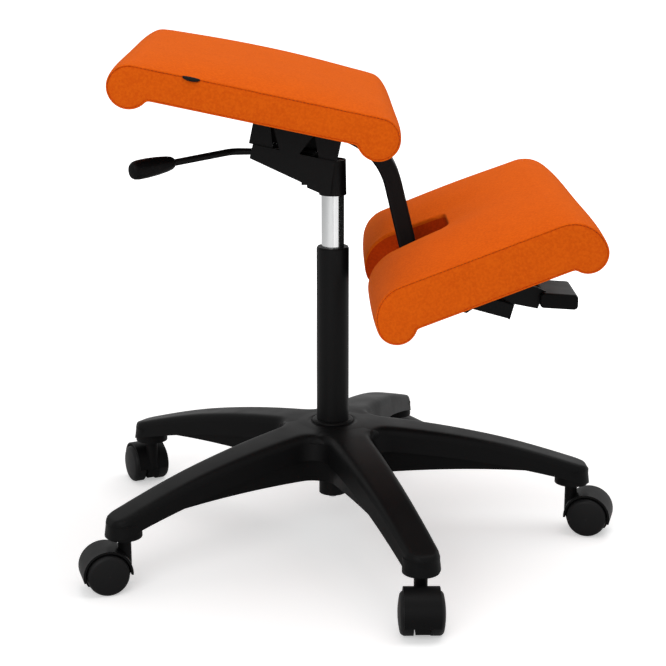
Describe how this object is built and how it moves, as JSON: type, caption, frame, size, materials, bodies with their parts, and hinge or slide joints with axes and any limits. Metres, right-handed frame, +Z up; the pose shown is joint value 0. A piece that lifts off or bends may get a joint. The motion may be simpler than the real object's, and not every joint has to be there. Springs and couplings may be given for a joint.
{
  "type": "kneeling chair",
  "caption": "Kneeling chair: forward-sloping padded seat and a notched knee pad on a bent bar, with a gas lift and a star base on castors.",
  "frame": {"origin": "on the floor, on the axis of the column", "axes": "+X the way the sitter faces, along one base arm; +Y the sitter's left; +Z up along the column"},
  "size_m": [0.663, 0.6757, 0.6212],
  "materials": {
    "orange_cloth": "felted wool cloth",
    "black_tape": "woven tape",
    "black_board": "black-stained plywood",
    "black_steel": "fine satin powder coat",
    "bright_steel": "zinc plated",
    "chrome": "polished",
    "black_nylon": "fine moulded grain",
    "wheel_nylon": "satin",
    "liner_plastic": "natural nylon",
    "rubber": "matt"
  },
  "bodies": {
    "base": {"star_base": "black_nylon", "castor_sleeves": "bright_steel", "hub_collar": "black_nylon", "column_tube": "black_steel", "guide_bush": "black_nylon", "thrust_bearing": "bright_steel", "buffer_ring": "rubber"},
    "piston": {"piston_rod": "bright_steel", "rod_clip": "bright_steel"},
    "seat_frame": {"gas_cylinder": "chrome", "mechanism_housing": "black_steel", "rear_spacer": "black_steel", "front_spacer": "black_steel", "support_bar": "black_steel", "bar_end_caps": "black_nylon", "seat_plate": "black_steel", "seat_bolts": "bright_steel", "bar_bolts": "bright_steel", "seat_screws": "bright_steel", "seat_board": "black_board", "seat_cushion": "orange_cloth", "seat_tag": "black_tape", "lever_pin": "black_steel"},
    "gas_lever": {"gas_lever_rod": "black_steel", "gas_lever_grip": "black_nylon"},
    "valve_button": {"release_button": "bright_steel"},
    "knee_rest": {"knee_carriage": "black_steel", "bar_liners": "liner_plastic", "knee_screws": "bright_steel", "knee_board": "black_board", "knee_cushion": "orange_cloth", "release_pin": "bright_steel"},
    "knee_release": {"release_lever": "black_steel", "release_paddle": "black_nylon"},
    "castor_1": {"castor_1_hood": "black_nylon", "castor_1_stem": "bright_steel", "castor_1_axle": "bright_steel"},
    "castor_1_left": {"castor_1_wheel_left": "wheel_nylon"},
    "castor_1_right": {"castor_1_wheel_right": "wheel_nylon"},
    "castor_2": {"castor_2_hood": "black_nylon", "castor_2_stem": "bright_steel", "castor_2_axle": "bright_steel"},
    "castor_2_left": {"castor_2_wheel_left": "wheel_nylon"},
    "castor_2_right": {"castor_2_wheel_right": "wheel_nylon"},
    "castor_3": {"castor_3_hood": "black_nylon", "castor_3_stem": "bright_steel", "castor_3_axle": "bright_steel"},
    "castor_3_left": {"castor_3_wheel_left": "wheel_nylon"},
    "castor_3_right": {"castor_3_wheel_right": "wheel_nylon"},
    "castor_4": {"castor_4_hood": "black_nylon", "castor_4_stem": "bright_steel", "castor_4_axle": "bright_steel"},
    "castor_4_left": {"castor_4_wheel_left": "wheel_nylon"},
    "castor_4_right": {"castor_4_wheel_right": "wheel_nylon"},
    "castor_5": {"castor_5_hood": "black_nylon", "castor_5_stem": "bright_steel", "castor_5_axle": "bright_steel"},
    "castor_5_left": {"castor_5_wheel_left": "wheel_nylon"},
    "castor_5_right": {"castor_5_wheel_right": "wheel_nylon"}
  },
  "joints": [
    {"name": "seat_swivel", "type": "hinge", "parent": "base", "child": "piston", "pos_m": [0, 0, 0], "axis": [0, 0, 1], "continuous": true},
    {"name": "height_slide", "type": "slide", "parent": "piston", "child": "seat_frame", "axis": [0, 0, 1], "range_m": [-0.055, 0.075]},
    {"name": "gas_lever_tilt", "type": "hinge", "parent": "seat_frame", "child": "gas_lever", "pos_m": [-0.06, 0, 0.4895], "axis": [0, 1, 0], "range_deg": [0, 4], "stiffness_Nm_per_rad": 3, "springref_deg": -3.44},
    {"name": "valve_press", "type": "slide", "parent": "seat_frame", "child": "valve_button", "axis": [0, 0, -1], "range_m": [0, 0.0046]},
    {"name": "knee_pad_slide", "type": "slide", "parent": "seat_frame", "child": "knee_rest", "axis": [0.9636, 0, -0.2672], "range_m": [0, 0.045]},
    {"name": "knee_release_tilt", "type": "hinge", "parent": "knee_rest", "child": "knee_release", "pos_m": [0.186, 0, 0.333], "axis": [0, -1, 0], "range_deg": [0, 10], "stiffness_Nm_per_rad": 1, "springref_deg": -3.44},
    {"name": "castor_1_swivel", "type": "hinge", "parent": "base", "child": "castor_1", "pos_m": [0.3046, 0, 0.06], "axis": [0, 0, 1], "continuous": true},
    {"name": "castor_1_left_spin", "type": "hinge", "parent": "castor_1", "child": "castor_1_left", "pos_m": [0.32671, -0.00634, 0.025], "axis": [0.2756, 0.9613, 0], "continuous": true},
    {"name": "castor_1_right_spin", "type": "hinge", "parent": "castor_1", "child": "castor_1_right", "pos_m": [0.32671, -0.00634, 0.025], "axis": [0.2756, 0.9613, 0], "continuous": true},
    {"name": "castor_2_swivel", "type": "hinge", "parent": "base", "child": "castor_2", "pos_m": [0.09413, 0.28969, 0.06], "axis": [0, 0, 1], "continuous": true},
    {"name": "castor_2_left_spin", "type": "hinge", "parent": "castor_2", "child": "castor_2_left", "pos_m": [0.11404, 0.30119, 0.025], "axis": [-0.5, 0.866, 0], "continuous": true},
    {"name": "castor_2_right_spin", "type": "hinge", "parent": "castor_2", "child": "castor_2_right", "pos_m": [0.11404, 0.30119, 0.025], "axis": [-0.5, 0.866, 0], "continuous": true},
    {"name": "castor_3_swivel", "type": "hinge", "parent": "base", "child": "castor_3", "pos_m": [-0.24643, 0.17904, 0.06], "axis": [0, 0, 1], "continuous": true},
    {"name": "castor_3_left_spin", "type": "hinge", "parent": "castor_3", "child": "castor_3_left", "pos_m": [-0.25651, 0.19971, 0.025], "axis": [-0.8988, -0.4384, 0], "continuous": true},
    {"name": "castor_3_right_spin", "type": "hinge", "parent": "castor_3", "child": "castor_3_right", "pos_m": [-0.25651, 0.19971, 0.025], "axis": [-0.8988, -0.4384, 0], "continuous": true},
    {"name": "castor_4_swivel", "type": "hinge", "parent": "base", "child": "castor_4", "pos_m": [-0.24643, -0.17904, 0.06], "axis": [0, 0, 1], "continuous": true},
    {"name": "castor_4_left_spin", "type": "hinge", "parent": "castor_4", "child": "castor_4_left", "pos_m": [-0.26854, -0.18538, 0.025], "axis": [0.2756, -0.9613, 0], "continuous": true},
    {"name": "castor_4_right_spin", "type": "hinge", "parent": "castor_4", "child": "castor_4_right", "pos_m": [-0.26854, -0.18538, 0.025], "axis": [0.2756, -0.9613, 0], "continuous": true},
    {"name": "castor_5_swivel", "type": "hinge", "parent": "base", "child": "castor_5", "pos_m": [0.09413, -0.28969, 0.06], "axis": [0, 0, 1], "continuous": true},
    {"name": "castor_5_left_spin", "type": "hinge", "parent": "castor_5", "child": "castor_5_left", "pos_m": [0.09413, -0.31269, 0.025], "axis": [1, 0, 0], "continuous": true},
    {"name": "castor_5_right_spin", "type": "hinge", "parent": "castor_5", "child": "castor_5_right", "pos_m": [0.09413, -0.31269, 0.025], "axis": [1, 0, 0], "continuous": true}
  ],
  "couplings": [
    {"joint": "valve_press", "follows": "gas_lever_tilt", "m_per_rad": 0.0635}
  ]
}
